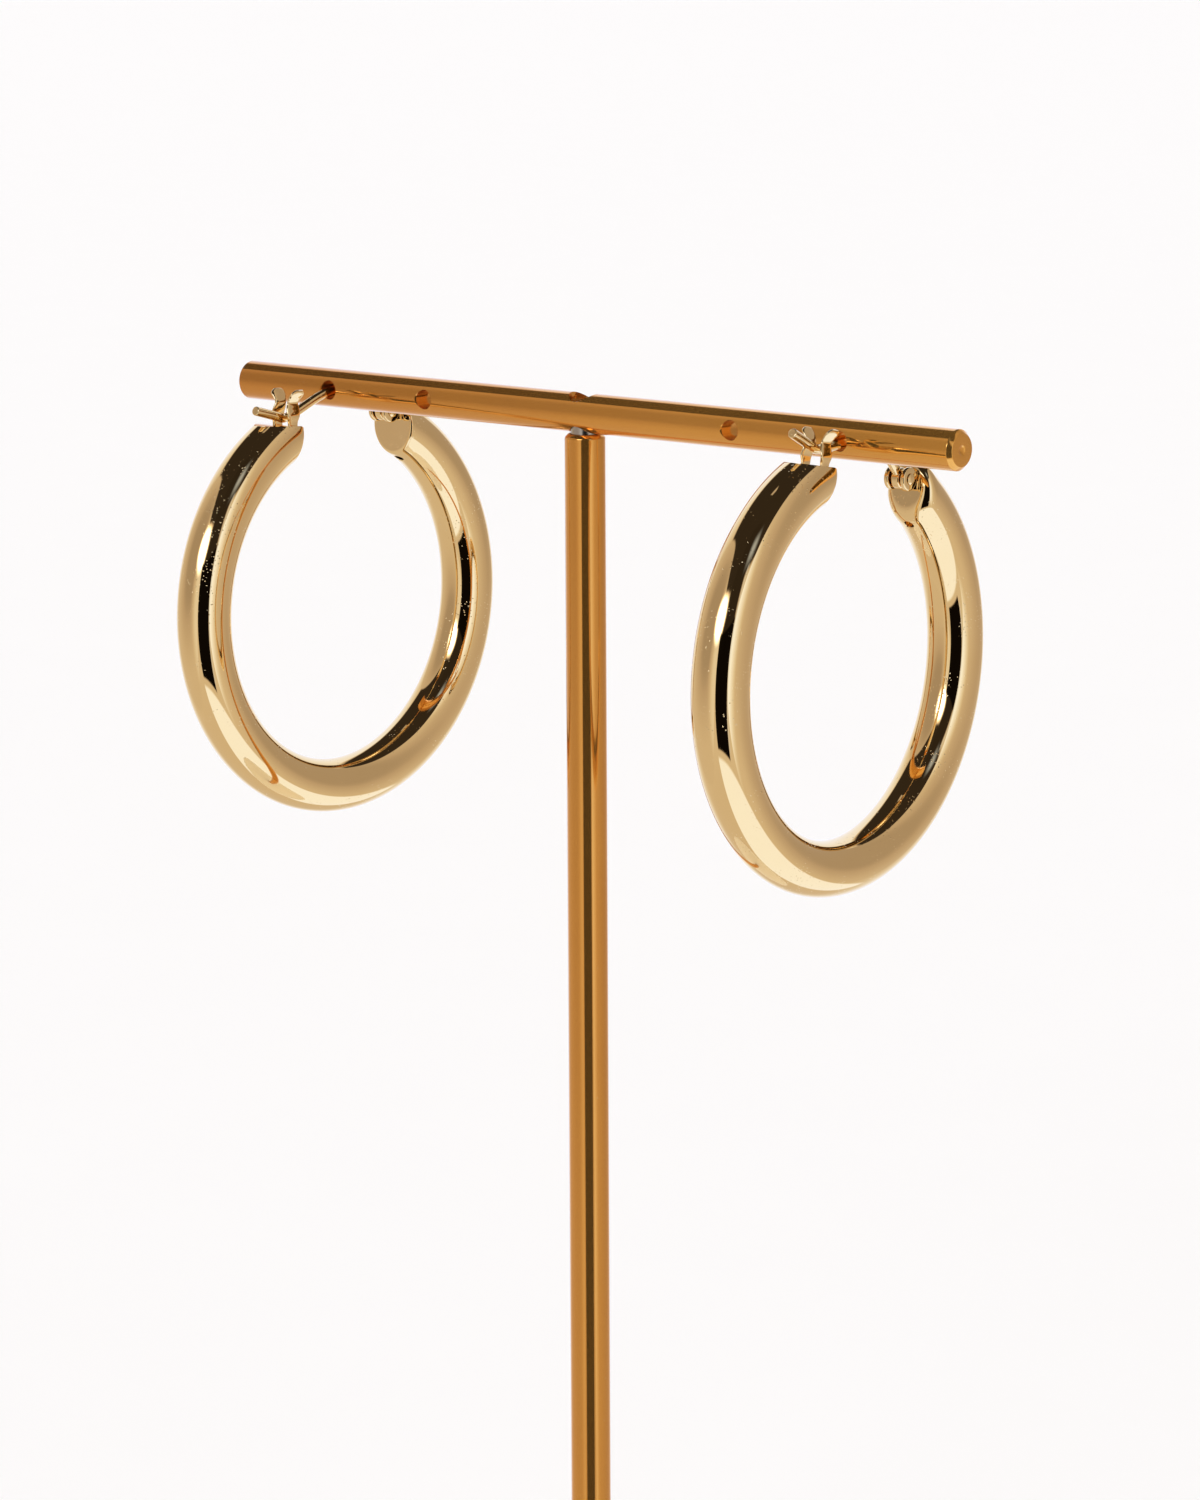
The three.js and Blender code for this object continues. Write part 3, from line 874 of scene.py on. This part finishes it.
# %% [markdown]
# The ear wire is one round wire along a path, from its free tip over the catch, through the bar's
# hole and down to its eye. Geometry Nodes sweeps a circle along a Bezier path. The handles come from
# the usual rule for a smooth curve through points. The tip is cut flat and its edge is broken.

# %% The ear wires
WIRE_SIDES, WIRE_STEPS = 40, 180
SEAT_STRETCH = 0.25  # the share of the tip's length that is already straight at the seat
EYE_OVERLAP = 0.6  # how deep the wire ends in its eye, in wire radii


def wire_stations(hang):
    """The points in the hoop's plane that the wire runs through, as (y, z)."""
    lean, lift = math.radians(hang["lean"]), math.radians(hang["tip_lift"])
    _, along, up = hole_place(hang)
    eye = Vector((RIVET_Y, rivet_height(hang)))
    elbow = Vector((RIVET_Y - ELBOW_REACH, END_Z + ELBOW_HEIGHT))
    rise = Vector((-math.cos(lift), math.sin(lift)))
    seat = Vector((CATCH_Y, FLAT_Z + CATCH_HEIGHT * hang["seat"]))

    def mouth(reach):
        return Vector((along + reach * math.cos(lean) + WIRE_SAG * math.sin(lean),
                       up + reach * math.sin(lean) - WIRE_SAG * math.cos(lean)))

    eye_edge = eye + (elbow - eye).normalized() * (EYE_RADIUS - EYE_OVERLAP * WIRE_RADIUS)
    return [
        seat + rise * TIP_LENGTH,
        seat + Vector((-1, math.sin(lift))) * (SEAT_STRETCH * TIP_LENGTH),
        seat, mouth(-BAR_RADIUS), mouth(BAR_RADIUS),
        Vector((RIVET_Y - SHOULDER_REACH, END_Z + SHOULDER_HEIGHT)), elbow, eye_edge,
    ]


def smooth_path(points):
    """A Bezier curve through points, with handles for steps of uneven length."""
    padded = [points[0] * 2 - points[1], *points, points[-1] * 2 - points[-2]]
    curve = bpy.data.curves.new("wire path", "CURVE")
    curve.dimensions = "3D"
    path = curve.splines.new("BEZIER")
    path.bezier_points.add(len(points) - 1)
    for knot, before, here, after in zip(path.bezier_points, padded, points, padded[2:]):
        back, on = (here - before).length**0.5, (after - here).length**0.5
        slope = (here - before) / back - (after - before) / (back + on) + (after - here) / on
        knot.co = (0, *here)
        knot.handle_left_type = knot.handle_right_type = "FREE"
        knot.handle_left = (0, *(here - slope * back / 3))
        knot.handle_right = (0, *(here + slope * on / 3))
    return curve


def wire_tree():
    tree, nodes, given = started("swept wire", {
        "Path": "Geometry", "Wire radius": "Float", "Sides": "Int", "Steps": "Int",
        "Finish": "Material"}, "Wire")
    path = nodes.add(
        "GeometryNodeResampleCurve", {}, {"Curve": given["Path"], "Count": given["Steps"]})
    circle = nodes.add("GeometryNodeCurvePrimitiveCircle", {}, {
        "Resolution": given["Sides"], "Radius": given["Wire radius"]})
    swept = nodes.add(
        "GeometryNodeCurveToMesh", {}, {"Curve": path, "Profile Curve": circle, "Fill Caps": True})
    ended(nodes, swept, given["Finish"])
    return tree


def wire_eye(hang):
    bore = RIVET_DIAMETER / 2 + RIVET_CLEARANCE
    made = turned(ring_profile(bore, EYE_RADIUS, -WIRE_RADIUS, WIRE_RADIUS, EYE_EDGE), sides=64)
    made.transform(Matrix.Translation((0, RIVET_Y, rivet_height(hang))) @ LAID)
    return made


def tip_broken(mesh):
    """The wire with the edges of its two cut ends rounded."""
    made = bmesh.new()
    made.from_mesh(mesh)
    edges = [edge for face in made.faces if len(face.verts) > 4 for edge in face.edges]
    bmesh.ops.bevel(made, geom=edges, offset=TIP_EDGE, segments=4, profile=0.5,
                    affect="EDGES", clamp_overlap=True)
    return made


swept_wire = wire_tree()
for side, hang in HANGS.items():
    path = smooth_path(wire_stations(hang))
    wire_mesh = grown("wire", path, swept_wire, {
        "Wire radius": WIRE_RADIUS, "Sides": WIRE_SIDES, "Steps": WIRE_STEPS, "Finish": GOLD})
    piece = finished(f"wire_{side}", tip_broken(wire_mesh), GOLD, hanging(hang), sharp=40)
    belongs(piece, "stand", "polished_gold", f"ear_wire_{side}")
    piece = finished(f"wire_eye_{side}", wire_eye(hang), GOLD, hanging(hang), sharp=40)
    belongs(piece, "stand", "polished_gold")

# %% [markdown]
# The floor is a very wide pale sweep, so that the camera never sees its end. It takes soft light and
# a faint shadow, but mirrors don't show it: they show the studio, which the world below describes.

# %% Floor
def pale_floor():
    made, nodes = material("pale floor")
    place = nodes.add("ShaderNodeTexCoord", output="Object")
    tooth = nodes.add("ShaderNodeTexNoise", {}, {"Vector": place, "Scale": 40, "Detail": 2})
    paper = nodes.blend(tooth, (0.5, 0.49, 0.48, 1), (0.51, 0.5, 0.49, 1))
    close(nodes, {
        "Base Color": paper, "Roughness": 0.9,
        "Emission Color": (1.0, 0.985, 0.965, 1), "Emission Strength": 0.435,
    })
    return made


FLOOR_RADIUS = 30.0
floor = as_object("floor", turned([(0, 0), (FLOOR_RADIUS, 0)], sides=96))
floor.data.materials.append(pale_floor())
floor.visible_glossy = False
print("floor reaches", FLOOR_RADIUS, "m")

# %% [markdown]
# Polished metal needs something to reflect. Here two big round diffusers stand left and right, dull
# in the middle and bright towards the rim, a white sweep is behind, the floor in front is lit, the
# ceiling is dark, and so is the gap between the diffusers where the camera looks in. The world works
# that out from the direction alone, by azimuth from the front and by elevation in degrees, first as a
# level of light and then as its colour, which is whiter where the light is strong, as on film. A lamp
# overhead adds light for the dull surfaces alone.

# %% Studio
BRIGHTEST = 1.35  # the level of the spot, where the film ramp ends


def studio():
    """The world, laid down from the farthest sheet to the nearest."""
    world = bpy.data.worlds.new("studio")
    bpy.context.scene.world = world
    world.use_nodes = True
    nodes = Nodes(world.node_tree)
    look = nodes.add("ShaderNodeTexCoord", output="Generated")
    x, y, z = (nodes.add("ShaderNodeSeparateXYZ", {}, {0: look}, output=axis) for axis in "XYZ")
    azimuth = x.math("ARCTAN2", 0 - y) * (180 / math.pi)
    elevation = z.math("MINIMUM", 1.0).math("MAXIMUM", -1.0).math("ARCSINE") * (180 / math.pi)

    def step(value, low, high):
        """0 below low and 1 above high, or the other way round, with a soft change between."""
        return nodes.add(
            "ShaderNodeMapRange", {"interpolation_type": "SMOOTHSTEP"},
            {"Value": value, "From Min": low, "From Max": high})

    def over(under, level, mask):
        return under + (level - under) * mask

    def from_azimuth(centre):
        """How far the direction is from an azimuth, in degrees to the right."""
        return (azimuth - (centre - 180)).math("FLOORED_MODULO", 360.0) - 180

    def from_disc(centre, height, wide, tall):
        """0 in the middle of an ellipse, 1 on its rim and more outside it."""
        across, rise = from_azimuth(centre) / wide, (elevation - height) / tall
        return (across * across + rise * rise).math("SQRT")

    def panel(left, right, bottom, top, soft):
        """1 inside a stretch of azimuth and elevation."""
        middle, half = (left + right) / 2, (right - left) / 2
        side = step(from_azimuth(middle).math("ABSOLUTE"), half + soft, half - soft)
        return (side * step(elevation, bottom - soft, bottom + soft)
                * step(elevation, top + soft, top - soft))

    # The white sweep behind, the floor and the dark ceiling
    level = over(0.72, 1.15, step(from_azimuth(-138).math("ABSOLUTE"), 60.0, 15.0))
    level = over(level, 0.68, step(elevation, -30.0, -50.0))
    level = over(level, 0.028, step(elevation, 34.0, 40.0))
    # The left diffuser and then the right one, each brighter towards its rim
    glow = over(0.31, 0.66, step(from_disc(-30, 22, 66, 52), 0.3, 1.05))
    glow = over(glow, 0.9, step(azimuth, -16.0, 10.0))
    level = over(level, glow, step(from_disc(-39, 4, 57, 48), 1.02, 0.98))
    glow = over(0.33, 0.7, step(from_disc(152, 20, 80, 62), 0.3, 1.0))
    glow = over(glow, 1.3, step(from_azimuth(122), -24.0, -56.0))
    level = over(level, glow, step(from_disc(125, 6, 62, 49), 1.02, 0.98))
    # The lit floor in front, and the dark above the gap
    level = over(level, 1.25, panel(14, 178, -90, -36, 1.2))
    level = over(level, 0.025, panel(22, 62, 10, 70, 3))
    # The spot, the dark gap between the diffusers and a faint strip on the ceiling
    spot = step(from_disc(6, 27, 22, 13), 1.1, 0.5)
    level = over(level, BRIGHTEST, spot)
    gap = panel(18, 63, -32, 19, 0.8)
    level = over(level, 0.004, gap)
    level = over(level, 0.45, panel(-124, -92, 79, 84, 2))
    colour = nodes.add("ShaderNodeValToRGB", {"stops": [
        (0.0, (0.0, 0.0, 0.0)), (0.015, (0.024, 0.018, 0.013)), (0.3, (0.555, 0.475, 0.42)),
        (0.52, (0.72, 0.65, 0.58)), (0.67, (0.86, 0.85, 0.86)), (0.85, (1.0, 1.08, 1.3)),
        (1.0, (1.15, 1.35, 1.85))]}, {"Fac": level / BRIGHTEST})
    # A cool window beside the gap, and the plain backdrop that the camera itself sees
    window = 0.5 * panel(64, 67, -28, 40, 1) + 0.6 * panel(54, 70, 44, 56, 6)
    colour = nodes.blend(window, colour, (0.7, 0.85, 1.2, 1))
    seen = nodes.add("ShaderNodeLightPath", output="Is Camera Ray")
    plain = nodes.blend(seen, colour, (0.98, 0.975, 0.965, 1))
    light = nodes.add("ShaderNodeBackground", {}, {
        "Color": plain, "Strength": 1 + 2.5 * (spot - gap).math("MAXIMUM", 0.0)})
    nodes.add("ShaderNodeOutputWorld", {}, {"Surface": light})


def overhead():
    """A wide soft light from above that lights dull surfaces and isn't mirrored."""
    light = bpy.data.lights.new("overhead", "SUN")
    light.energy, light.angle = 2.4, math.radians(70)
    lamp = linked("overhead", light)
    lamp.rotation_euler = (math.radians(-20), math.radians(-12), 0)
    lamp.visible_glossy = False


studio()
overhead()
print("studio nodes:", len(bpy.context.scene.world.node_tree.nodes))

# %% [markdown]
# The camera stands to the right of the front, a little above the hoops, half a metre away with a long
# lens, as a product photographer would to keep the rings round. Its place and turn were fitted to the
# outlines of the bar, the post and both rings.

# %% Camera
CAMERA_AZIMUTH, CAMERA_ELEVATION, CAMERA_ROLL = 40.235, 10.893, -0.302
CAMERA_PITCH_TRIM = 0.081
CAMERA_RIGHT, CAMERA_UP, CAMERA_BACK = 1.324 * MM, -32.845 * MM, 498.272 * MM
FOCAL_SHARE = 5008.19 / 1500  # the lens length as a share of the frame's longer side
SENSOR = 36


def camera():
    data = bpy.data.cameras.new("camera")
    data.sensor_width = SENSOR
    data.lens = SENSOR * FOCAL_SHARE
    data.clip_start, data.clip_end = 0.01, 200
    eye = linked("camera", data)
    level = (Matrix.Rotation(math.radians(CAMERA_AZIMUTH), 4, "Z")
             @ Matrix.Rotation(math.radians(90 - CAMERA_ELEVATION), 4, "X"))
    place = level @ Vector((CAMERA_RIGHT, CAMERA_UP, CAMERA_BACK)) + Vector((0, 0, BAR_HEIGHT))
    eye.matrix_world = (Matrix.Translation(place) @ level
                        @ Matrix.Rotation(math.radians(-CAMERA_PITCH_TRIM), 4, "X")
                        @ Matrix.Rotation(math.radians(CAMERA_ROLL), 4, "Z"))
    bpy.context.scene.camera = eye
    return eye


eye = camera()
print("camera at", [round(value, 4) for value in eye.matrix_world.translation])

# %% [markdown]
# The colours above are chosen for a plain transform to the screen, with no film curve, and the
# last cell sets that transform.

# %% Finish
bpy.context.scene.view_settings.view_transform = "Standard"
